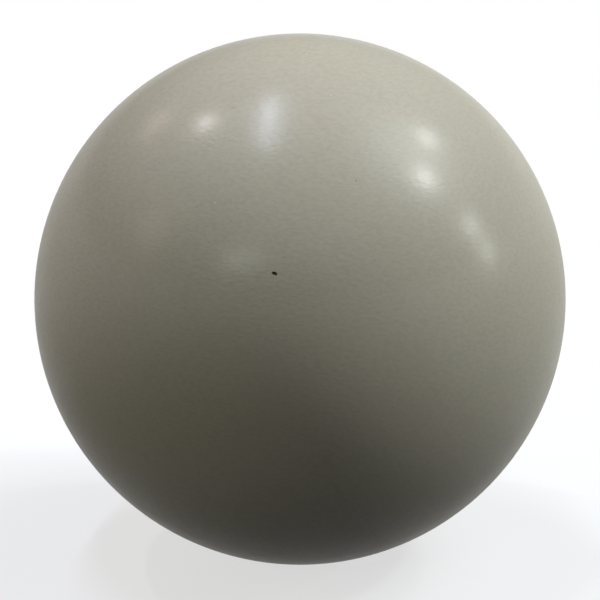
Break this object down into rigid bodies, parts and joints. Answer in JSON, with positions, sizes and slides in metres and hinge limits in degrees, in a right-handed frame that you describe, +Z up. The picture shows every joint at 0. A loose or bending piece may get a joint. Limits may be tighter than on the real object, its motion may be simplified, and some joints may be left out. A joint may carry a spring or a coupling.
{
  "type": "bocce ball",
  "caption": "Plain ivory-grey ball to roll or throw in a lawn game: polished half covers bonded over a poured ballast core, closed by a flush fill plug and a vent peg.",
  "frame": {"origin": "centre of the ball", "axes": "+Z up as the ball lies in the picture, -Y towards the viewer; Y is the moulding axis, with the rim joint in the plane y = 0 and the fill plug at the +Y pole"},
  "size_m": [0.107, 0.107, 0.107],
  "materials": {
    "cover_resin": "satin",
    "plug_resin": "satin",
    "ballast_resin": "matte",
    "adhesive": "satin"
  },
  "bodies": {
    "root": {"front_cover": "cover_resin", "rear_cover": "cover_resin", "rim_bond_ring": "adhesive", "ballast_core": "ballast_resin", "fill_plug": "plug_resin", "plug_bond_ring": "adhesive", "vent_peg": "plug_resin"}
  },
  "joints": []
}
